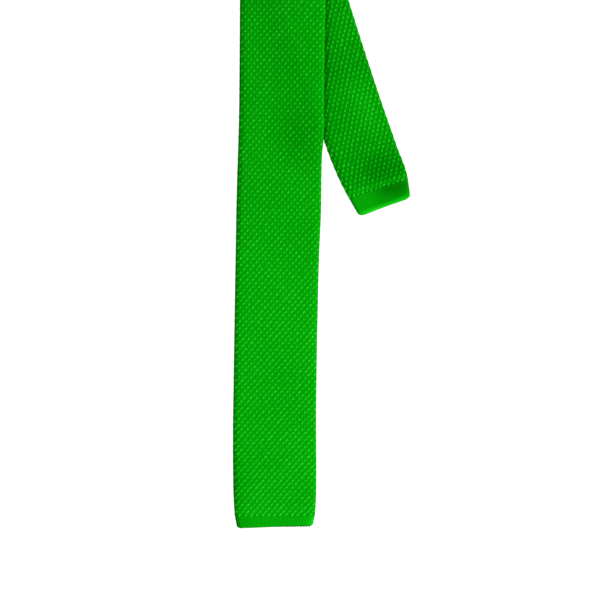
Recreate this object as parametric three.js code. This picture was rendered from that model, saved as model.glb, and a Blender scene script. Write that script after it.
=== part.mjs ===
// A square-ended knit tie, lying as it is laid down on a table: one flat knitted tube that runs from
// the wide blade, round an open neck loop, to the narrow blade, with a plain hem at each free end.
// Millimetres. The surface that the tie lies on is z = 0, +Y runs from the wide blade's free end
// towards the neck loop, and the wide blade lies over the narrow one.

import * as THREE from "three";

// Lengths along the tie, each blade's from its free end to its seam with the neck band
const tieLength = 1450;
const wideBladeLength = 640;
const wideTaperLength = 170;
const narrowBladeLength = 390;
const narrowTaperLength = 120;
const wideHemLength = 9.5;
const narrowHemLength = 13.5;

// Widths
const wideWidth = 60;
const neckWidth = 32;
const narrowWidth = 47;

// The knitted tube, pressed flat
const knitWall = 1.45; // one layer of the blades and the neck band
const hemWall = 1.25; // one layer of a hem
const layerGap = 0.4; // what is left between the two layers
const seamGap = 0.3; // clearance between pieces that meet or lie on each other
const hemCorner = 2.6; // radius of a hem's outer corners

// How it lies. The middle lines of the two blades cross just below the neck loop.
const wideDrop = 448; // from the crossing down to the wide blade's free end
const narrowDrop = 225; // from the crossing down to the narrow blade's free end
const wideLean = 1; // degrees at the crossing, towards +X as the blade goes up
const narrowLean = 17.3; // degrees at the crossing, towards -X as the blade goes up
const loopRoundShare = 0.38; // share of the neck loop that is its round top
const drapeMargin = 3; // how far past the narrow blade's edge the wide one stays fully lifted
const drapeReach = 17; // how much further it takes to come down to the surface

// How many degrees more each blade leans than at the crossing.
// at: share of the way from the crossing to the free end.
const wideLeans = [
  { at: 0, more: 0 },
  { at: 0.15, more: -0.5 },
  { at: 0.3, more: -0.3 },
  { at: 0.39, more: 1.3 },
  { at: 0.5, more: 0.2 },
  { at: 0.8, more: 0.1 },
  { at: 0.88, more: -0.9 },
  { at: 1, more: -1.4 },
];
const narrowLeans = [
  { at: 0, more: 0 },
  { at: 0.35, more: 0.3 },
  { at: 0.6, more: 1.3 },
  { at: 0.85, more: 3 },
  { at: 1, more: 4.6 },
];

// How each blade draws in towards its free end, as shares of its width.
// from: distance from the free end, in hem lengths.
const wideEnds = [
  { from: 0, share: 0.912 },
  { from: 1, share: 0.968 },
  { from: 2.6, share: 0.993 },
  { from: 5, share: 1 },
];
const narrowEnds = [
  { from: 0, share: 0.83 },
  { from: 1, share: 0.935 },
  { from: 1.9, share: 0.985 },
  { from: 3.7, share: 1 },
];

// A hem's thickness, with the rolled lip at the free end, as shares of its plain thickness.
// from: distance from the free end, in hem lengths.
const hemSwell = [
  { from: 0, share: 0.9 },
  { from: 0.12, share: 1.12 },
  { from: 0.3, share: 1.02 },
  { from: 1, share: 1 },
];

// How finely the tube is divided
const pathStep = 2.5;
const bladeStep = 12;
const neckStep = 9;
const hemStep = 1.4;
const edgeSegments = 2;
const bowSamples = 400;
const bowHalvings = 50;

// What follows from the sizes above
const wideSeamAt = wideBladeLength;
const narrowSeamAt = tieLength - narrowBladeLength;
const loopLength = tieLength - wideDrop - narrowDrop;
const loopSideLength = (loopLength / 2) * (1 - loopRoundShare);
const fullLift = 2 * knitWall + layerGap + seamGap;
const rad = THREE.MathUtils.degToRad;
const { clamp, lerp, smoothstep } = THREE.MathUtils;

// The value in a column of a table, between the rows on each side of where.
function lookUp(table, key, column, where) {
  const last = table[table.length - 1];
  if (where <= table[0][key]) return table[0][column];
  if (where >= last[key]) return last[column];
  const next = table.findIndex((row) => row[key] > where);
  const [a, b] = [table[next - 1], table[next]];
  return lerp(a[column], b[column], (where - a[key]) / (b[key] - a[key]));
}

// Heading along half of the neck loop, in radians from the loop's own axis: out from the crossing,
// bowed by the given angle, and then a quarter turn round the top.
function halfLoopHeading(share, crossingAngle, bow) {
  const side = 1 - loopRoundShare;
  if (share > side) return (-Math.PI / 2) * ((share - side) / loopRoundShare);
  const t = share / side;
  return crossingAngle * Math.cos((Math.PI * t) / 2) ** 2 + bow * Math.sin(Math.PI * t);
}

// The bow that brings the top of the half loop back onto the loop's axis, by halving a range.
function closingBow(crossingAngle) {
  let [low, high] = [-Math.PI / 2, Math.PI / 2];
  for (let i = 0; i < bowHalvings; i++) {
    const bow = (low + high) / 2;
    let sideways = 0;
    for (let k = 0; k < bowSamples; k++) {
      sideways += Math.sin(halfLoopHeading((k + 0.5) / bowSamples, crossingAngle, bow));
    }
    if (sideways > 0) high = bow;
    else low = bow;
  }
  return (low + high) / 2;
}

// The tie's heading at each distance along it, in radians clockwise from +Y: up the wide blade,
// round the loop and down the narrow blade.
function headings() {
  const loopLean = rad((wideLean - narrowLean) / 2);
  const crossingAngle = rad((wideLean + narrowLean) / 2);
  const bow = closingBow(crossingAngle);
  return (along) => {
    const past = along - wideDrop;
    if (past < 0) return rad(wideLean + lookUp(wideLeans, "at", "more", -past / wideDrop));
    if (past > loopLength) {
      const share = (past - loopLength) / narrowDrop;
      return -Math.PI - rad(narrowLean + lookUp(narrowLeans, "at", "more", share));
    }
    const share = (2 * past) / loopLength;
    if (share <= 1) return loopLean + halfLoopHeading(share, crossingAngle, bow);
    return loopLean - Math.PI - halfLoopHeading(2 - share, crossingAngle, bow);
  };
}

// The tie's middle line, as points a small step apart from the wide free end to the narrow one.
function layMiddleLine() {
  const headingAt = headings();
  const count = Math.round(tieLength / pathStep);
  const step = tieLength / count;
  const line = [{ along: 0, x: 0, y: 0, heading: headingAt(0) }];
  for (let i = 1; i <= count; i++) {
    const before = line[i - 1];
    const between = headingAt((i - 0.5) * step);
    line.push({
      along: i * step,
      x: before.x + step * Math.sin(between),
      y: before.y + step * Math.cos(between),
      heading: headingAt(i * step),
    });
  }
  return line;
}

const middleLine = layMiddleLine();

// Place and heading at a distance along the tie.
function placeAt(along) {
  const spacing = tieLength / (middleLine.length - 1);
  const index = clamp(Math.floor(along / spacing), 0, middleLine.length - 2);
  const [a, b] = [middleLine[index], middleLine[index + 1]];
  const part = along / spacing - index;
  return {
    x: lerp(a.x, b.x, part),
    y: lerp(a.y, b.y, part),
    heading: lerp(a.heading, b.heading, part),
  };
}

// Half the tie's width at a distance along it.
function halfWidthAt(along) {
  const fromNarrow = tieLength - along;
  const wideShare = smoothstep(wideBladeLength - along, 0, wideTaperLength);
  const narrowShare = smoothstep(narrowBladeLength - fromNarrow, 0, narrowTaperLength);
  const full =
    neckWidth + (wideWidth - neckWidth) * wideShare + (narrowWidth - neckWidth) * narrowShare;
  const drawnIn =
    lookUp(wideEnds, "from", "share", along / wideHemLength) *
    lookUp(narrowEnds, "from", "share", fromNarrow / narrowHemLength);
  const intoCorner = Math.max(hemCorner - Math.min(along, fromNarrow), 0);
  const cornerInset = hemCorner - Math.sqrt(hemCorner ** 2 - intoCorner ** 2);
  return (full * drawnIn) / 2 - cornerInset;
}

// The tube's thickness at a distance along it, as a share of the plain one.
function swellAt(along) {
  const atWide = lookUp(hemSwell, "from", "share", along / wideHemLength);
  const atNarrow = lookUp(hemSwell, "from", "share", (tieLength - along) / narrowHemLength);
  return atWide * atNarrow;
}

// How high the wide side of the tie is lifted at a point, where it lies over the narrow side.
const narrowSide = middleLine.filter((spot) => spot.along >= wideDrop + loopLength - loopSideLength);
function liftAt(along, x, y) {
  if (along > wideDrop + loopSideLength) return 0;
  let past = Infinity;
  for (const spot of narrowSide) {
    past = Math.min(past, Math.hypot(x - spot.x, y - spot.y) - halfWidthAt(spot.along));
  }
  return fullLift * smoothstep(drapeMargin + drapeReach - past, 0, drapeReach);
}

// The section of a flat tube: an outline with round edges, and the slit between its two layers.
function tubeSection(width, wall, divisions) {
  const thickness = 2 * wall + layerGap;
  const round = thickness / 2;
  const flat = width / 2 - round;
  const inside = width / 2 - wall;
  const across = (i) => flat * ((2 * i) / divisions - 1);
  const outline = new THREE.Shape();
  outline.moveTo(-flat, 0);
  for (let i = 1; i <= divisions; i++) outline.lineTo(across(i), 0);
  outline.absarc(flat, round, round, -Math.PI / 2, Math.PI / 2, false);
  for (let i = 1; i <= divisions; i++) outline.lineTo(-across(i), thickness);
  outline.absarc(-flat, round, round, Math.PI / 2, (3 * Math.PI) / 2, false);
  const slit = new THREE.Path();
  slit.moveTo(-inside, wall);
  for (let i = 1; i < divisions; i++) slit.lineTo(across(i), wall);
  slit.lineTo(inside, wall);
  slit.lineTo(inside, wall + layerGap);
  for (let i = 1; i < divisions; i++) slit.lineTo(-across(i), wall + layerGap);
  slit.lineTo(-inside, wall + layerGap);
  outline.holes.push(slit);
  return outline;
}

// A stretch of the tube: its section extruded straight, and then each point laid where the tie goes.
function layTube({ from, to, width, wall, divisions, step }) {
  const round = wall + layerGap / 2;
  const flat = width / 2 - round;
  const geometry = new THREE.ExtrudeGeometry(tubeSection(width, wall, divisions), {
    depth: 1,
    steps: Math.max(Math.round((to - from) / step), 2),
    curveSegments: edgeSegments,
    bevelEnabled: false,
  });
  const points = geometry.attributes.position;
  for (let i = 0; i < points.count; i++) {
    const along = lerp(from, to, points.getZ(i));
    const half = halfWidthAt(along);
    const out = Math.abs(points.getX(i));
    const reach = out <= flat ? (out * (half - round)) / flat : half - round + out - flat;
    const across = Math.sign(points.getX(i)) * reach;
    const { x, y, heading } = placeAt(along);
    const laidX = x - across * Math.cos(heading);
    const laidY = y + across * Math.sin(heading);
    const height = points.getY(i) * swellAt(along) + liftAt(along, laidX, laidY);
    points.setXYZ(i, laidX, laidY, height);
  }
  geometry.computeVertexNormals();
  return geometry;
}

const knitYarn = new THREE.MeshStandardMaterial({ color: 0x099f09, roughness: 0.9, metalness: 0 });
const hemYarn = new THREE.MeshStandardMaterial({ color: 0x079607, roughness: 0.85, metalness: 0 });

// Each piece keeps half of the seam gap clear at an end that meets another piece.
const clear = seamGap / 2;
const pieces = [
  {
    name: "wide_blade",
    material: knitYarn,
    from: wideHemLength + clear,
    to: wideSeamAt - clear,
    width: wideWidth,
    wall: knitWall,
    divisions: 8,
    step: bladeStep,
  },
  {
    name: "neck_band",
    material: knitYarn,
    from: wideSeamAt + clear,
    to: narrowSeamAt - clear,
    width: neckWidth,
    wall: knitWall,
    divisions: 4,
    step: neckStep,
  },
  {
    name: "narrow_blade",
    material: knitYarn,
    from: narrowSeamAt + clear,
    to: tieLength - narrowHemLength - clear,
    width: narrowWidth,
    wall: knitWall,
    divisions: 6,
    step: bladeStep,
  },
  {
    name: "wide_hem",
    material: hemYarn,
    from: 0,
    to: wideHemLength - clear,
    width: wideWidth,
    wall: hemWall,
    divisions: 8,
    step: hemStep,
  },
  {
    name: "narrow_hem",
    material: hemYarn,
    from: tieLength - narrowHemLength + clear,
    to: tieLength,
    width: narrowWidth,
    wall: hemWall,
    divisions: 6,
    step: hemStep,
  },
];

const tie = new THREE.Group();
for (const piece of pieces) {
  const mesh = new THREE.Mesh(layTube(piece), piece.material);
  mesh.name = piece.name;
  tie.add(mesh);
}

// The origin is on the surface, under the middle of the whole tie.
const bounds = new THREE.Box3().setFromObject(tie);
const middle = bounds.getCenter(new THREE.Vector3());
tie.position.set(-middle.x, -middle.y, -bounds.min.z);

const part = new THREE.Group();
part.add(tie);

export default part;
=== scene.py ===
# A square-ended knit tie, laid flat with its wide blade over the narrow one.
# Everything is in metres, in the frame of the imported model.

import math

import bmesh
import bpy
import numpy as np
from mathutils import Matrix


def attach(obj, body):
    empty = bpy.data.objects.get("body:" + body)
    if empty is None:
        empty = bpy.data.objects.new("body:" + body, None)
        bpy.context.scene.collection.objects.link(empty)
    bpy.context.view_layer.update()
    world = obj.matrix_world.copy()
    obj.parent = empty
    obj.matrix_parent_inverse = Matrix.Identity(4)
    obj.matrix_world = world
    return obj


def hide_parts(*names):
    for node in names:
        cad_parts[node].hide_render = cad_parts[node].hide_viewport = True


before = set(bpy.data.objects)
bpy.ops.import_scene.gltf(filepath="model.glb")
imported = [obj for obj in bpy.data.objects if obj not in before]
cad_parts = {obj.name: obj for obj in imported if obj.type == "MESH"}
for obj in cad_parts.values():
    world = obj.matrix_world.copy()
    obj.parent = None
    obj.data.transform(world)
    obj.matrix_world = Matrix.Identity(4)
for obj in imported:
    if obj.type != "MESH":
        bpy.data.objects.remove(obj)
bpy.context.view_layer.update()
print("frame loaded")

# How the whole tie lies, the same as in the part's source
tie = {
    "start": (0.0186014, -0.3867609),  # middle of the wide blade's free end
    "length": 1.45,
    "wideBlade": 0.64,
    "wideTaper": 0.17,
    "narrowBlade": 0.39,
    "narrowTaper": 0.12,
    "wideHem": 0.0095,
    "narrowHem": 0.0135,
    "wideWidth": 0.06,
    "neckWidth": 0.032,
    "narrowWidth": 0.047,
    "wideCorner": 0.0012,  # how round the corners of the free ends are
    "narrowCorner": 0.0026,
    "wideDrop": 0.448,
    "narrowDrop": 0.225,
    "wideLean": 1.0,
    "narrowLean": 17.3,
    "loopRound": 0.38,
    "lift": 0.0032,  # of the wide side where it goes over the narrow side
    "drapeReach": 0.03,  # how far beyond the narrow side's edge it comes down
    "drapeBow": 0.6,  # how much it bows out on the way down
    "press": 0.0006,  # how far it presses the narrow side in
    "pressReach": 0.004,
    "edgeTight": 0.4,  # how much flatter the stitches are where they go round the edges
    "paintedCreaseShade": 0.4,  # painted shade: how much darker the narrow side's tone is in the crease where the wide side's edge lies on it
    "paintedCreaseShadeReach": 0.0035,
    "stretch": 0.0011,  # how much further the narrow free end reaches than its middle line
    "curl": 0.0016,  # how high the right corner of the narrow free end stands
    "curlReach": 0.055,  # how far from that end the curl begins
    "curlFrom": 0.35,  # share of the half width at which it begins, and over which it rises
    "curlWide": 1.3,
    "pathStep": 0.0025,
    "seam": 0.00005,  # half of what is left open between two pieces
    "weld": 0.000002,  # points nearer than this are made one
    "wales": 56,  # round the whole tube, on both faces together
    # degrees more than at the crossing, by the share of the way to the free end
    "wideLeans": ((0, 0.15, 0.3, 0.39, 0.5, 0.8, 0.88, 1), (0, -0.5, -0.3, 1.3, 0.2, 0.1, -0.9, -1.4)),
    "narrowLeans": ((0, 0.35, 0.6, 0.85, 1), (0, 0.3, 1.3, 3, 4.6)),
    # share of the width, by the distance from the free end in hem lengths
    "wideEnds": ((0, 1, 2.6, 5), (0.912, 0.968, 0.993, 1)),
    "narrowEnds": ((0, 1, 1.9, 3.7), (0.83, 0.935, 0.985, 1)),
    # length of a course of stitches on the wide blade, on the narrow blade and round the neck
    "courses": (0.00252, 0.00307, 0.0035),
    # degrees by which the courses run askew, by the place along the tie
    "skew": ((0, 0.012, 1.07, 1.19, 1.4, 1.4365, 1.45), (-1.1, 0, 0, 6, 6, 3.4, 1.4)),
}


def smooth(share):
    share = np.clip(share, 0, 1)
    return share * share * (3 - 2 * share)


# The middle line of the tie, worked out as the part's source does
def halfLoopHeading(share, crossing, bow):
    side = 1 - tie["loopRound"]
    t = np.minimum(share / side, 1)
    outward = crossing * np.cos(np.pi * t / 2) ** 2 + bow * np.sin(np.pi * t)
    return np.where(share > side, -np.pi / 2 * (share - side) / tie["loopRound"], outward)


def closingBow(crossing):
    # the bow that makes the two halves of the neck loop meet, found by halving
    places, halvings = 400, 50
    low, high = -np.pi / 2, np.pi / 2
    shares = (np.arange(places) + 0.5) / places
    for i in range(halvings):
        bow = (low + high) / 2
        if np.sin(halfLoopHeading(shares, crossing, bow)).sum() > 0:
            high = bow
        else:
            low = bow
    return (low + high) / 2


def headingAt(along):
    drop = tie["wideDrop"]
    loop = tie["length"] - drop - tie["narrowDrop"]
    loopLean = math.radians((tie["wideLean"] - tie["narrowLean"]) / 2)
    crossing = math.radians((tie["wideLean"] + tie["narrowLean"]) / 2)
    bow = closingBow(crossing)
    past = along - drop
    onWide = np.radians(tie["wideLean"] + np.interp(-past / drop, *tie["wideLeans"]))
    share = (past - loop) / tie["narrowDrop"]
    onNarrow = -np.pi - np.radians(tie["narrowLean"] + np.interp(share, *tie["narrowLeans"]))
    share = 2 * past / loop
    up = loopLean + halfLoopHeading(np.clip(share, 0, 1), crossing, bow)
    down = loopLean - np.pi - halfLoopHeading(np.clip(2 - share, 0, 1), crossing, bow)
    onLoop = np.where(share <= 1, up, down)
    return np.where(past < 0, onWide, np.where(past > loop, onNarrow, onLoop))


def layMiddleLine():
    count = round(tie["length"] / tie["pathStep"])
    step = tie["length"] / count
    between = headingAt((np.arange(count) + 0.5) * step)
    x = tie["start"][0] + np.concatenate(([0], np.cumsum(step * np.sin(between))))
    y = tie["start"][1] + np.concatenate(([0], np.cumsum(step * np.cos(between))))
    along = np.arange(count + 1) * step
    return {"along": along, "x": x, "y": y, "heading": headingAt(along)}


middleLine = layMiddleLine()


def widthShares(along):
    fromNarrow = tie["length"] - along
    wide = smooth((tie["wideBlade"] - along) / tie["wideTaper"])
    narrow = smooth((tie["narrowBlade"] - fromNarrow) / tie["narrowTaper"])
    return wide, narrow


def halfWidthAt(along):
    fromNarrow = tie["length"] - along
    wide, narrow = widthShares(along)
    neck = tie["neckWidth"]
    full = neck + (tie["wideWidth"] - neck) * wide + (tie["narrowWidth"] - neck) * narrow
    full = full * np.interp(along / tie["wideHem"], *tie["wideEnds"])
    full = full * np.interp(fromNarrow / tie["narrowHem"], *tie["narrowEnds"])
    corner = np.where(along < fromNarrow, tie["wideCorner"], tie["narrowCorner"])
    into = np.clip(corner - np.minimum(along, fromNarrow), 0, corner)
    return full / 2 - (corner - np.sqrt(corner**2 - into**2))


def countCourses():
    wide, narrow = widthShares(middleLine["along"])
    onWide, onNarrow, onNeck = tie["courses"]
    pitch = onNeck + (onWide - onNeck) * wide + (onNarrow - onNeck) * narrow
    step = middleLine["along"][1]
    return np.concatenate(([0], np.cumsum(2 * step / (pitch[1:] + pitch[:-1]))))


coursesBefore = countCourses()  # how many courses lie before each point of the middle line

# Which points of the middle line lie on the narrow side and on the wide side
loopSide = (tie["length"] - tie["wideDrop"] - tie["narrowDrop"]) / 2 * (1 - tie["loopRound"])
narrowSide = middleLine["along"] >= tie["length"] - tie["narrowDrop"] - loopSide
wideSide = middleLine["along"] <= tie["wideDrop"] + loopSide


def pastEdge(x, y, side):
    # how far each point lies beyond the edge of that side of the tie, less than 0 over or under it
    spots = np.stack((middleLine["x"][side], middleLine["y"][side]), axis=1)
    half = halfWidthAt(middleLine["along"][side])
    past = np.empty(len(x))
    batch = 20000  # points at a time, to spare memory
    for first in range(0, len(x), batch):
        some = slice(first, first + batch)
        away = np.hypot(x[some, None] - spots[:, 0], y[some, None] - spots[:, 1])
        past[some] = (away - half).min(axis=1)
    return past


def liftAt(x, y):
    # the wide side leaves the narrow side's edge steeply and runs out to the floor
    share = np.clip(pastEdge(x, y, narrowSide) / tie["drapeReach"], 0, 1)
    return tie["lift"] * (1 - share) ** 2 * (1 + tie["drapeBow"] * share)


def pressAt(x, y):
    return tie["press"] * smooth(1 - pastEdge(x, y, wideSide) / tie["pressReach"])


# A point of the cloth, by its place round the tube (0 to 1, from the left edge over the top),
# along the tie and out of the cloth, is laid where the tie goes
def layTube(around, along, rise, cloth):
    half = halfWidthAt(along) - cloth["inset"]
    turn = cloth["skin"] / 2
    flat = half - turn
    quarter = np.pi * turn / 2
    q = around * (4 * flat + 4 * quarter)
    ends = [quarter, quarter + 2 * flat, 3 * quarter + 2 * flat, 3 * quarter + 4 * flat]
    where = [q < end for end in ends]
    angle = np.select(
        where,
        [np.pi - q / turn, np.pi / 2 + 0 * q, np.pi / 2 - (q - ends[1]) / turn, -np.pi / 2 + 0 * q],
        -np.pi / 2 - (q - ends[3]) / turn,
    )
    middle = np.select(where, [-flat, q - ends[0] - flat, flat, flat - (q - ends[2])], -flat)
    rise = rise * (1 - tie["edgeTight"] * np.abs(np.cos(angle)))
    across = middle + (turn + rise) * np.cos(angle)
    height = turn + (turn + rise) * np.sin(angle)
    height = cloth["ground"] + height * thicknessAt(across / half, along, cloth)
    for place in cloth["bulges"]:
        near = np.exp(-(((along - place["along"]) / place["long"]) ** 2))
        side = place["side"]
        across = across + side * place["reach"] * near * smooth(2 * side * across / half - 1)
    askew = np.radians(np.interp(along, *tie["skew"]))
    slide = -(across + np.where(askew < 0, half, 0)) * np.tan(askew)
    slide = slide + tie["stretch"] * smooth(1 - (tie["length"] - along) / tie["narrowHem"])
    spotX = np.interp(along, middleLine["along"], middleLine["x"])
    spotY = np.interp(along, middleLine["along"], middleLine["y"])
    heading = np.interp(along, middleLine["along"], middleLine["heading"])
    x = spotX + across * np.cos(heading) + slide * np.sin(heading)
    y = spotY - across * np.sin(heading) + slide * np.cos(heading)
    if cloth["lies"] == "over":
        height = height + liftAt(x, y)
    elif cloth["lies"] == "under":
        pressed = pressAt(x, y) / (cloth["ground"] + cloth["skin"])
        height = height * (1 - pressed) + curlAt(across / half, along)
    return np.stack((x, y, height), axis=1)


def curlAt(across, along):
    # the narrow free end curls up a little at its right corner
    end = smooth(1 - (tie["length"] - along) / tie["curlReach"])
    return tie["curl"] * end * smooth((tie["curlFrom"] - across) / tie["curlWide"])


def thicknessAt(across, along, cloth):
    # the cloth thins towards its edges, and swells or dips at the places that are listed
    edge, drop = cloth["pillow"]
    share = 1 - drop * smooth((np.abs(across) - (1 - edge)) / edge)
    return share + swellAt(across, along, cloth, "share")


def swellAt(across, along, cloth, of):
    total = 0 * along
    for place in cloth["swells"]:
        away = (across - place["across"]) / place["wide"]
        far = (along - place["along"]) / place["long"]
        total = total + place.get(of, 0) * np.exp(-(away**2) - far**2)
    return total


# painted shade: the narrow side's tone is made darker along the crease where the wide side's edge lies on
# it
def paintedCreaseShadeAt(points, cloth):
    if cloth["lies"] != "under":
        return 0
    past = pastEdge(points[:, 0], points[:, 1], wideSide)
    return tie["paintedCreaseShade"] * smooth(1 - past / tie["paintedCreaseShadeReach"])


def acrossOf(wales):
    # share of the half width at which a wale lies, the same on both faces
    turn = (wales / tie["wales"]) % 1 * 4
    return np.where(turn < 2, turn - 1, 3 - turn)


def newPiece(name, mesh):
    piece = bpy.data.objects.new(name, mesh)
    bpy.context.scene.collection.objects.link(piece)
    return piece


def placeVertices(mesh, points):
    mesh.vertices.foreach_set("co", points.astype(np.float32).ravel())
    mesh.update()


def readVertices(mesh):
    points = np.empty(len(mesh.vertices) * 3, np.float32)
    mesh.vertices.foreach_get("co", points)
    return points.reshape(-1, 3).astype(float)


def markCloth(mesh, wales, courses, tone):
    # the cloth's own coordinates for the yarn's pattern, and its tone, which follows how far out a point
    # of it stands: painted shade low down, painted highlight high up, besides the yarn's own changes
    corners = np.empty(len(mesh.loops), np.int32)
    mesh.loops.foreach_get("vertex_index", corners)
    layer = mesh.uv_layers.new(name="cloth")
    layer.uv.foreach_set("vector", np.stack((wales, courses), axis=1)[corners].astype(np.float32).ravel())
    mesh.attributes.new("tone", "FLOAT", "POINT").data.foreach_set("value", tone.astype(np.float32))


def makeSkin(name, cloth, alongOf, tone, riseAt=None):
    # the tube's own skin: a flat grid that is laid round the tube, closed at its seam and given a wall
    turns, faces = cloth["turnSteps"], cloth["faceSteps"]
    columns, rows = 4 * turns + 2 * faces, cloth["rows"]
    bm = bmesh.new()
    bmesh.ops.create_grid(bm, x_segments=columns, y_segments=rows, size=0.5)
    mesh = bpy.data.meshes.new(name)
    bm.to_mesh(mesh)
    bm.free()
    flatPoints = readVertices(mesh) + 0.5
    column = flatPoints[:, 0] * columns
    along, courses = alongOf(flatPoints[:, 1])
    turn = cloth["skin"] / 2
    flat = halfWidthAt(along) - cloth["inset"] - turn
    quarter = np.pi * turn / 2
    spans = (turns, faces, 2 * turns, faces, turns)
    steps = [np.clip(column - sum(spans[:i]), 0, spans[i]) for i in range(5)]
    onTurns = quarter * (steps[0] + steps[2] + steps[4]) / turns
    onFaces = 2 * flat * (steps[1] + steps[3]) / faces
    around = (onTurns + onFaces) / (4 * flat + 4 * quarter)
    wales = around * tie["wales"]
    rise = riseAt(wales, along) if riseAt else 0 * wales
    points = layTube(around, along, rise, cloth)
    # painted shade and painted light from the swells' tones, painted shade in the grooves of the hem's
    # ribs and ticks, and painted shade in the crease below
    tone = tone + swellAt(acrossOf(wales), along, cloth, "tone") + cloth.get("paintedReliefShade", 0) * rise
    markCloth(mesh, wales, courses, tone - paintedCreaseShadeAt(points, cloth))
    placeVertices(mesh, points)
    bm = bmesh.new()
    bm.from_mesh(mesh)
    bmesh.ops.remove_doubles(bm, verts=bm.verts, dist=tie["weld"])
    bmesh.ops.solidify(bm, geom=bm.faces, thickness=cloth["wall"])
    bm.to_mesh(mesh)
    bm.free()
    return newPiece(name, mesh)


def makeStitches(name, cloth, alongOf, rowCount):
    # one slanting stitch: the first array sets its neighbour on the next course beside it, and the
    # other two repeat the pair over the flat cloth
    wale, course, high = cloth["wale"], cloth["course"], cloth["stitchHigh"]
    lean = cloth["stitchLean"] * wale
    slant = math.hypot(lean, course)
    long, wide = cloth["stitchLong"] / 2 / slant, cloth["stitchWide"] / 2 / slant
    shape = Matrix((
        (-wide * course / wale, 0, long * lean / wale, 0),
        (wide * lean / course, 0, long, 0),
        (0, high, 0, 0),
        (0, 0, 0, 1),
    ))
    bm = bmesh.new()
    sides, rings = cloth["stitchSides"], cloth["stitchRings"]
    bmesh.ops.create_uvsphere(bm, u_segments=sides, v_segments=rings, radius=1, matrix=shape)
    bmesh.ops.translate(bm, verts=bm.verts, vec=(0, 0.5, 0))
    single = len(bm.verts)
    mesh = bpy.data.meshes.new(name)
    bm.to_mesh(mesh)
    bm.free()
    pattern = newPiece(name + "Pattern", mesh)
    repeats = ((2, (1, 1, 0)), (tie["wales"] // 2, (2, 0, 0)), (rowCount // 2, (0, 2, 0)))
    for count, offset in repeats:
        array = pattern.modifiers.new("repeat", "ARRAY")
        array.use_relative_offset = False
        array.use_constant_offset = True
        array.constant_offset_displace = offset
        array.count = count
    depsgraph = bpy.context.evaluated_depsgraph_get()
    mesh = bpy.data.meshes.new_from_object(pattern.evaluated_get(depsgraph))
    bpy.data.objects.remove(pattern)

    # each stitch has a size and place of its own, and their form changes slowly along the piece
    points = readVertices(mesh).reshape(-1, single, 3)
    chance = np.random.default_rng(cloth["seed"])
    count = len(points)
    centres = points.mean(axis=1, keepdims=True)
    local = points - centres
    far = centres[:, :, 1:2] / rowCount
    size = 1 + cloth["uneven"] * chance.standard_normal((count, 1, 3)) * cloth["unevenSize"]
    size[:, :, 2:] *= 1 + cloth["highChange"] * far
    shift = cloth["uneven"] * chance.standard_normal((count, 1, 3)) * cloth["unevenPlace"]
    # the stitch bends: its two ends dive into the cloth
    toEnd = local[:, :, 1:2] / long
    dive = np.concatenate((0 * toEnd, 0 * toEnd, -high * cloth["dive"] * toEnd**2), axis=2)
    forward = far * local[:, :, 1:2]
    change = (cloth["leanChange"] * forward, cloth["longChange"] * forward, 0 * forward)
    points = centres + (local + np.concatenate(change, axis=2)) * size + shift + dive
    # painted shade at each stitch's foot and a painted highlight on its crown, with a random tone of its
    # own
    paintedCrownHighlight = np.clip(points[:, :, 2] / high, 0, 1)
    low, top = cloth["footShadeCrownHighlight"]
    tone = low + (top - low) * paintedCrownHighlight + cloth["toneUneven"] * chance.standard_normal((count, 1))
    wales, rows, rise = points.reshape(-1, 3).T
    along, courses = alongOf(rows / rowCount)
    points = layTube((wales / tie["wales"]) % 1, along, rise, cloth)
    # painted shade and painted light from the swells' tones, and painted shade in the crease below
    tone = tone.ravel() + swellAt(acrossOf(wales), along, cloth, "tone")
    markCloth(mesh, wales, courses, tone - paintedCreaseShadeAt(points, cloth))
    placeVertices(mesh, points)
    return newPiece(name, mesh)


def joinPieces(first, second):
    bpy.ops.object.select_all(action="DESELECT")
    first.select_set(True)
    second.select_set(True)
    bpy.context.view_layer.objects.active = first
    bpy.ops.object.join()
    return first


def finishPiece(piece, material, node):
    piece.data.shade_smooth()
    piece.data.materials.clear()
    piece.data.materials.append(material)
    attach(piece, "root")
    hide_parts(node)
    print(piece.name, "made,", sum(len(face.vertices) - 2 for face in piece.data.polygons), "triangles")
    return piece


# Shader node groups
def newGroup(name, inputs, outputs):
    group = bpy.data.node_groups.new(name, "ShaderNodeTree")
    for label, kind in inputs:
        group.interface.new_socket(label, in_out="INPUT", socket_type=kind)
    for label, kind in outputs:
        group.interface.new_socket(label, in_out="OUTPUT", socket_type=kind)
    return group, group.nodes.new("NodeGroupInput"), group.nodes.new("NodeGroupOutput")


def addMath(tree, operation, first, second):
    node = tree.nodes.new("ShaderNodeMath")
    node.operation = operation
    for socket, value in zip(node.inputs, (first, second)):
        if isinstance(value, (int, float)):
            socket.default_value = value
        else:
            tree.links.new(value, socket)
    return node.outputs[0]


# The patterns of the yarn, in the cloth's own coordinates, and of its dye
patterns = {
    "strandTurn": 45,  # degrees from the wales
    "strandBend": 1.5,
    "strandDetail": 1,
    "strandDetailScale": 1.2,
    "fuzzScale": 9,
    "fuzzDetail": 3,
    "dyeDetail": 2,
}


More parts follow.
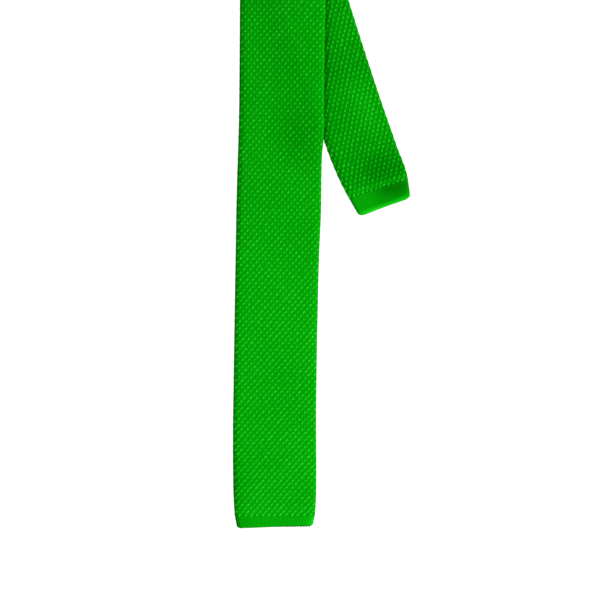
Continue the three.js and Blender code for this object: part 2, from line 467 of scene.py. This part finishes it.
def makeYarnTwist():
    # fine strands that run along the stitches, twisted a little, with fuzz between them
    group, given, out = newGroup(
        "yarnTwist",
        (("Cloth", "NodeSocketVector"), ("Strands", "NodeSocketFloat"), ("Fuzz", "NodeSocketFloat")),
        (("Height", "NodeSocketFloat"), ("Shade", "NodeSocketFloat")),
    )
    turned = group.nodes.new("ShaderNodeMapping")
    turned.inputs["Rotation"].default_value = (0, 0, math.radians(patterns["strandTurn"]))
    group.links.new(given.outputs["Cloth"], turned.inputs["Vector"])
    wave = group.nodes.new("ShaderNodeTexWave")
    wave.bands_direction = "X"
    wave.inputs["Distortion"].default_value = patterns["strandBend"]
    wave.inputs["Detail"].default_value = patterns["strandDetail"]
    wave.inputs["Detail Scale"].default_value = patterns["strandDetailScale"]
    group.links.new(turned.outputs["Vector"], wave.inputs["Vector"])
    group.links.new(given.outputs["Strands"], wave.inputs["Scale"])
    fuzz = group.nodes.new("ShaderNodeTexNoise")
    fuzz.inputs["Scale"].default_value = patterns["fuzzScale"]
    fuzz.inputs["Detail"].default_value = patterns["fuzzDetail"]
    group.links.new(given.outputs["Cloth"], fuzz.inputs["Vector"])
    rough = addMath(group, "MULTIPLY", fuzz.outputs[0], given.outputs["Fuzz"])
    height = addMath(group, "ADD", wave.outputs["Fac"], rough)
    group.links.new(height, out.inputs["Height"])
    group.links.new(fuzz.outputs[0], out.inputs["Shade"])
    return group


def makeDyeDrift():
    # broad and slight changes of colour, as dyed yarn has
    group, given, out = newGroup(
        "dyeDrift",
        (("Place", "NodeSocketVector"), ("Scale", "NodeSocketFloat")),
        (("Drift", "NodeSocketFloat"),),
    )
    noise = group.nodes.new("ShaderNodeTexNoise")
    noise.inputs["Detail"].default_value = patterns["dyeDetail"]
    group.links.new(given.outputs["Place"], noise.inputs["Vector"])
    group.links.new(given.outputs["Scale"], noise.inputs["Scale"])
    group.links.new(noise.outputs[0], out.inputs["Drift"])
    return group


groups = {"twist": makeYarnTwist(), "dye": makeDyeDrift()}


def makeYarn(name, look):
    material = bpy.data.materials.new(name)
    material.use_nodes = True
    tree = material.node_tree
    shader = tree.nodes["Principled BSDF"]
    uv = tree.nodes.new("ShaderNodeUVMap")
    uv.uv_map = "cloth"
    place = tree.nodes.new("ShaderNodeTexCoord")
    stands = tree.nodes.new("ShaderNodeAttribute")
    stands.attribute_name = "tone"
    twist = tree.nodes.new("ShaderNodeGroup")
    twist.node_tree = groups["twist"]
    twist.inputs["Strands"].default_value = look["strands"]
    twist.inputs["Fuzz"].default_value = look["fuzz"]
    tree.links.new(uv.outputs["UV"], twist.inputs["Cloth"])
    dye = tree.nodes.new("ShaderNodeGroup")
    dye.node_tree = groups["dye"]
    dye.inputs["Scale"].default_value = look["driftScale"]
    tree.links.new(place.outputs["Object"], dye.inputs["Place"])
    # painted shade: the tone is darker between the stitches than on them
    drift = addMath(tree, "MULTIPLY", dye.outputs["Drift"], look["drift"])
    mottle = addMath(tree, "MULTIPLY", twist.outputs["Shade"], look["mottle"])
    tone = addMath(tree, "ADD", stands.outputs["Fac"], addMath(tree, "ADD", drift, mottle))
    tone = addMath(tree, "SUBTRACT", tone, (look["drift"] + look["mottle"]) / 2)
    ramp = tree.nodes.new("ShaderNodeValToRGB")
    ramp.color_ramp.elements[0].color = (*look["paintedShadeDeep"], 1)
    ramp.color_ramp.elements[1].color = (*look["paintedCrownHighlight"], 1)
    between = ramp.color_ramp.elements.new(0.5)
    between.color = (*look["middle"], 1)
    tree.links.new(tone, ramp.inputs["Fac"])
    tree.links.new(ramp.outputs["Color"], shader.inputs["Base Color"])
    bump = tree.nodes.new("ShaderNodeBump")
    bump.inputs["Strength"].default_value = look["bump"]
    bump.inputs["Distance"].default_value = look["strandHigh"]
    tree.links.new(twist.outputs["Height"], bump.inputs["Height"])
    tree.links.new(bump.outputs["Normal"], shader.inputs["Normal"])
    shader.inputs["Roughness"].default_value = look["roughness"]
    shader.inputs["Specular IOR Level"].default_value = look["specular"]
    return material


# The colours go from painted shade between the stitches to a painted highlight, a little whitish, on top
# of them
yarnLook = {
    "paintedShadeDeep": (0.0001, 0.10, 0.0002),
    "middle": (0.0010, 0.29, 0.0014),
    "paintedCrownHighlight": (0.0135, 0.47, 0.0125),
    "strands": 2.0,
    "fuzz": 0.5,
    "drift": 0.15,  # how much the dye and the fuzz change the tone
    "mottle": 0.2,
    "driftScale": 18.0,
    "bump": 0.5,
    "strandHigh": 0.00012,
    "roughness": 0.7,
    "specular": 0.006,
}
hemLook = dict(yarnLook, strands=3.0, fuzz=0.7, bump=0.35, strandHigh=0.00006, mottle=0.12)
knitYarn = makeYarn("knitYarn", yarnLook)
hemYarn = makeYarn("hemYarn", hemLook)
print("yarn materials made")


# The wide blade
wideBlade = {
    "start": tie["wideHem"],
    "end": tie["wideBlade"],
    "skin": 0.0025,  # thickness of the tube without its stitches
    "wall": 0.00105,  # and of each of its two layers
    "inset": 0.0001,  # how far the tube's edges lie inside the tie's
    "ground": 0.0006,  # height of the underside, which leaves room for the stitches below it
    "pillow": (0.13, 0.36),  # share of the half width that slopes, and how much thinner its end is
    "turnSteps": 3,  # steps of the skin round a quarter of an edge, over a face and along the piece
    "faceSteps": 20,
    "rows": 110,
    "wale": 0.00215,
    "course": 0.00252,
    "stitchLean": 1.45,  # wales by which a stitch slants on each course, where the piece starts
    "leanChange": -0.95,  # what is added to that on the way to the piece's end
    "stitchLong": 0.0036,
    "longChange": -0.4,  # share by which the stitches are longer at that end
    "stitchWide": 0.0019,
    "stitchHigh": 0.00054,
    "highChange": -0.35,  # share by which they are higher there
    "stitchSides": 6,
    "stitchRings": 3,
    "dive": 0.2,  # share of its height by which a stitch bends down at its two ends
    "footShadeCrownHighlight": (0.55, 0.74),  # painted shade at a stitch's foot and painted highlight on its crown
    "toneUneven": 0.055,
    "paintedPitShade": 0.32,  # painted shade: tone of the skin between the stitches
    "reachOver": (0.35, 0),  # courses by which the stitches reach beyond each end, over a hem
    # places where an edge stands out: side 1 is the right one, on the way from the wide blade's end
    "bulges": (
        {"along": 0.31, "long": 0.026, "reach": 0.0004, "side": 1},
        {"along": 0.289, "long": 0.012, "reach": 0.0008, "side": 1},
        {"along": 0.232, "long": 0.026, "reach": 0.0008, "side": 1},
        {"along": 0.03, "long": 0.06, "reach": 0.001, "side": 1},
        {"along": 0.4, "long": 0.05, "reach": 0.0008, "side": 1},
    ),
    # places where the cloth swells or dips, and where its colour is darker or lighter, most of them
    # painted shade and painted light
    "swells": (
        {"across": 0, "wide": 9, "along": 0.0095, "long": 0.003, "tone": 0.1},
        # painted shade on the left edge, where the light from the right does not reach
        {"across": -0.95, "wide": 0.3, "along": 0.03, "long": 0.03, "tone": -0.12},
        # painted shade: a dark line along the left edge
        {"across": -1, "wide": 0.06, "along": 0.15, "long": 0.3, "tone": -0.4},
        # painted shade: darker towards the top of the blade, where less light falls
        {"across": 0, "wide": 9, "along": 0.42, "long": 0.13, "tone": -0.06},
        # painted shade where the blade slopes down off the narrow side's edge, away from the light
        {"across": 0.25, "wide": 0.45, "along": 0.283, "long": 0.018, "tone": -0.09},
    ),
    "uneven": 0.09,  # how much the stitches differ, in size and in place
    "unevenSize": (1, 1, 1.4),
    "unevenPlace": (0.6, 0.6, 0),
    "lies": "over",
    "seed": 11,
}


def makeBlade(name, cloth, node):
    start, end = cloth["start"] + tie["seam"], cloth["end"] - tie["seam"]
    first, last = np.interp((start, end), middleLine["along"], coursesBefore)
    rowCount = 2 * round((last - first) / 2)

    def alongOf(share):
        courses = first + share * (last - first)
        return np.interp(courses, coursesBefore, middleLine["along"]), courses

    skin = makeSkin(name, cloth, alongOf, tone=cloth["paintedPitShade"])
    atStart, atEnd = cloth["reachOver"]
    first, last = first - atStart, last + atEnd  # alongOf reaches further for the stitches
    stitches = makeStitches(name + "Stitches", cloth, alongOf, rowCount)
    return finishPiece(joinPieces(skin, stitches), knitYarn, node)


# The neck band
neckBand = dict(
    wideBlade,
    start=tie["wideBlade"],
    end=tie["length"] - tie["narrowBlade"],
    ground=0.0005,
    faceSteps=10,
    rows=110,
    wale=0.00121,
    course=0.0035,
    stitchLean=1,
    leanChange=0,
    longChange=0,
    stitchLong=0.0029,
    stitchWide=0.0014,
    stitchHigh=0.00026,
    highChange=0,
    reachOver=(0, 0),
    bulges=(),
    swells=(),
    lies="free",
    seed=12,
)

# The narrow blade
narrowBlade = dict(
    wideBlade,
    start=tie["length"] - tie["narrowBlade"],
    end=tie["length"] - tie["narrowHem"],
    faceSteps=12,
    rows=70,
    wale=0.00175,
    course=0.00307,
    stitchLean=1,
    leanChange=0,
    longChange=0,
    stitchLong=0.0029,
    stitchWide=0.0022,
    stitchHigh=0.00052,
    highChange=0,
    footShadeCrownHighlight=(0.5, 0.6),
    paintedPitShade=0.22,
    reachOver=(0, 0.35),
    bulges=(
        {"along": 1.405, "long": 0.02, "reach": 0.00095, "side": 1},
        {"along": 1.432, "long": 0.012, "reach": 0.0009, "side": -1},
    ),
    swells=(
        {"across": 0, "wide": 9, "along": 1.4365, "long": 0.003, "tone": 0.1},
        # painted shade near the free end, where the cloth slopes away from the light
        {"across": -0.3, "wide": 0.75, "along": 1.424, "long": 0.013, "tone": -0.16},
        # painted light on the right part, which faces the light
        {"across": -0.5, "wide": 0.4, "along": 1.38, "long": 0.025, "tone": 0.14},
        # painted shade: darker towards the top, where less light falls
        {"across": 0, "wide": 9, "along": 1.348, "long": 0.012, "tone": -0.06},
    ),
    lies="under",
    seed=13,
)

narrowPiece = makeBlade("narrowBlade", narrowBlade, "narrow_blade")
widePiece = makeBlade("wideBlade", wideBlade, "wide_blade")
neckPiece = makeBlade("neckBand", neckBand, "neck_band")

# The hems
wideHem = {
    "start": 0,
    "end": tie["wideHem"],
    "skin": 0.0028,
    "wall": 0.0012,
    "inset": 0.00005,
    "ground": 0.00005,
    "pillow": (0.12, 0.25),
    "turnSteps": 4,
    "faceSteps": 112,
    "rows": 20,
    "tone": 0.42,
    "ribHigh": 0.00012,
    "tickHigh": 0.0002,
    "paintedReliefShade": 450,  # painted shade and light: how much lighter the tone is for each metre of height, darker in the grooves
    "tickReach": 0.003,  # how far the ticks reach from the lip
    "tickSlant": 500,  # wales of slant in each metre
    "rowPitch": 0.0011,
    "gather": 1.5,  # how much the rows of the skin crowd towards the free end, 1 for not at all
    "bulges": ({"along": 0.03, "long": 0.06, "reach": 0.001, "side": 1},),
    "swells": (
        {"across": 0, "wide": 9, "along": 0, "long": 0.0008, "share": -0.25},
        # painted shade on the left edge, away from the light
        {"across": -1, "wide": 0.4, "along": 0.004, "long": 0.01, "tone": -0.12},
        # painted shade: a dark line along the left edge
        {"across": -1, "wide": 0.08, "along": 0.004, "long": 0.01, "tone": -0.4},
        # painted shade along the right half of the free edge, which faces away from the light
        {"across": 0.6, "wide": 0.5, "along": 0, "long": 0.0008, "tone": -0.5},
        # painted light on the right end, which faces the light
        {"across": 1, "wide": 0.2, "along": 0.004, "long": 0.006, "tone": 0.25},
    ),
    "lies": "free",
}
narrowHem = dict(
    wideHem,
    start=tie["length"] - tie["narrowHem"],
    end=tie["length"],
    tone=0.28,
    rows=26,
    faceSteps=96,
    bulges=({"along": 1.432, "long": 0.012, "reach": 0.0009, "side": -1},),
    ribHigh=0.00002,
    tickHigh=0.00004,
    paintedReliefShade=0,
    lies="under",
    swells=(
        {"across": 0, "wide": 9, "along": 1.45, "long": 0.0007, "share": -0.25},
        {"across": -0.1, "wide": 0.8, "along": 1.4445, "long": 0.004, "share": -0.35},
        # painted shade in the dish below the stitches, which slopes away from the light
        {"across": -0.2, "wide": 0.4, "along": 1.4395, "long": 0.0055, "tone": -0.22},
        # painted shade in the dish on the right
        {"across": -0.75, "wide": 0.35, "along": 1.4405, "long": 0.0055, "tone": -0.22},
        # the lip swells a little, and its tone is a painted highlight where it rises towards the light
        {"across": 0.3, "wide": 1.0, "along": 1.4487, "long": 0.0018, "share": 0.15, "tone": 0.45},
        # painted highlight on the lip's right part
        {"across": -0.7, "wide": 0.4, "along": 1.4487, "long": 0.0018, "tone": 0.2},
    ),
)


def makeHem(name, cloth, node):
    start, end = cloth["start"], cloth["end"]
    atStart = start == 0
    first = start if atStart else start + tie["seam"]
    last = end - tie["seam"] if atStart else end
    gather = cloth["gather"]

    def alongOf(share):
        share = share**gather if atStart else 1 - (1 - share) ** gather
        along = first + share * (last - first)
        return along, along / cloth["rowPitch"]

    def riseAt(wales, along):
        fromLip = along - start if atStart else end - along
        ribs = cloth["ribHigh"] * np.cos(2 * np.pi * wales)
        lip = smooth(1 - fromLip / cloth["tickReach"])
        ticks = cloth["tickHigh"] * np.cos(2 * np.pi * (wales - cloth["tickSlant"] * fromLip))
        return ribs * (1 - lip) + ticks * lip - cloth["tickHigh"]

    skin = makeSkin(name, cloth, alongOf, tone=cloth["tone"], riseAt=riseAt)
    return finishPiece(skin, hemYarn, node)


wideHemPiece = makeHem("wideHem", wideHem, "wide_hem")
narrowHemPiece = makeHem("narrowHem", narrowHem, "narrow_hem")

# The floor
floorLook = {"size": 6.0, "drop": 0.0001, "albedo": 0.3, "roughness": 0.9, "glow": 0.95}


def makeFloor():
    bm = bmesh.new()
    bmesh.ops.create_grid(bm, x_segments=1, y_segments=1, size=floorLook["size"] / 2)
    bmesh.ops.translate(bm, verts=bm.verts, vec=(0, 0, -floorLook["drop"]))
    mesh = bpy.data.meshes.new("floor")
    bm.to_mesh(mesh)
    bm.free()
    floor = newPiece("floor", mesh)
    material = bpy.data.materials.new("paleFloor")
    material.use_nodes = True
    shader = material.node_tree.nodes["Principled BSDF"]
    shade = floorLook["albedo"]
    shader.inputs["Base Color"].default_value = (shade, shade, shade, 1)
    shader.inputs["Roughness"].default_value = floorLook["roughness"]
    shader.inputs["Specular IOR Level"].default_value = 0
    shader.inputs["Emission Color"].default_value = (1, 1, 1, 1)
    # a table lit from below: white in the picture, and no brighter to the tie than its own colour
    path = material.node_tree.nodes.new("ShaderNodeLightPath")
    glow = addMath(material.node_tree, "MULTIPLY", path.outputs["Is Camera Ray"], floorLook["glow"])
    material.node_tree.links.new(glow, shader.inputs["Emission Strength"])
    mesh.materials.append(material)


makeFloor()
print("floor made")

# Camera and light
view = {
    "target": (0.03729, -0.21993, 0),
    "distance": 1.2,
    "tilt": 6,
    "lens": 100,
    "sensor": 36,
    "clipStart": 0.05,
}
light = {
    "sky": 0.55,
    "keyTurn": 2,  # degrees from +X towards +Y
    "keyHigh": 38,
    "keyFar": 2.2,
    "keySize": 0.8,
    "keyPower": 74,
    "fillAt": (-0.08, -0.92, 0.53),
    "fillTilt": 45,
    "fillSize": 0.5,
    "fillPower": 3.5,
}


def makeCamera():
    tilt = math.radians(view["tilt"])
    camera = bpy.data.objects.new("camera", bpy.data.cameras.new("camera"))
    bpy.context.scene.collection.objects.link(camera)
    camera.data.lens = view["lens"]
    camera.data.sensor_width = view["sensor"]
    camera.data.clip_start = view["clipStart"]
    x, y, z = view["target"]
    far = view["distance"]
    camera.location = (x, y + far * math.sin(tilt), z + far * math.cos(tilt))
    camera.rotation_euler = (-tilt, 0, 0)
    bpy.context.scene.camera = camera


def addDiskLight(name, size, power, place, turn):
    data = bpy.data.lights.new(name, "AREA")
    data.shape = "DISK"
    data.size = size
    data.energy = power
    lamp = bpy.data.objects.new(name, data)
    bpy.context.scene.collection.objects.link(lamp)
    lamp.location = place
    lamp.rotation_euler = turn


def makeLights():
    world = bpy.data.worlds.new("studio")
    bpy.context.scene.world = world
    world.use_nodes = True
    background = world.node_tree.nodes["Background"]
    background.inputs["Color"].default_value = (1, 1, 1, 1)
    background.inputs["Strength"].default_value = light["sky"]
    turn, high = math.radians(light["keyTurn"]), math.radians(light["keyHigh"])
    x, y, z = view["target"]
    far = light["keyFar"]
    aside = far * math.cos(high)
    keyAt = (x + aside * math.cos(turn), y + aside * math.sin(turn), z + far * math.sin(high))
    keyTurn = (0, math.pi / 2 - high, turn)
    addDiskLight("keyLight", light["keySize"], light["keyPower"], keyAt, keyTurn)
    fillTurn = (math.radians(light["fillTilt"]), 0, 0)
    addDiskLight("fillLight", light["fillSize"], light["fillPower"], light["fillAt"], fillTurn)


makeCamera()
makeLights()
bpy.context.scene.view_settings.view_transform = "Standard"
print("camera and lights made")
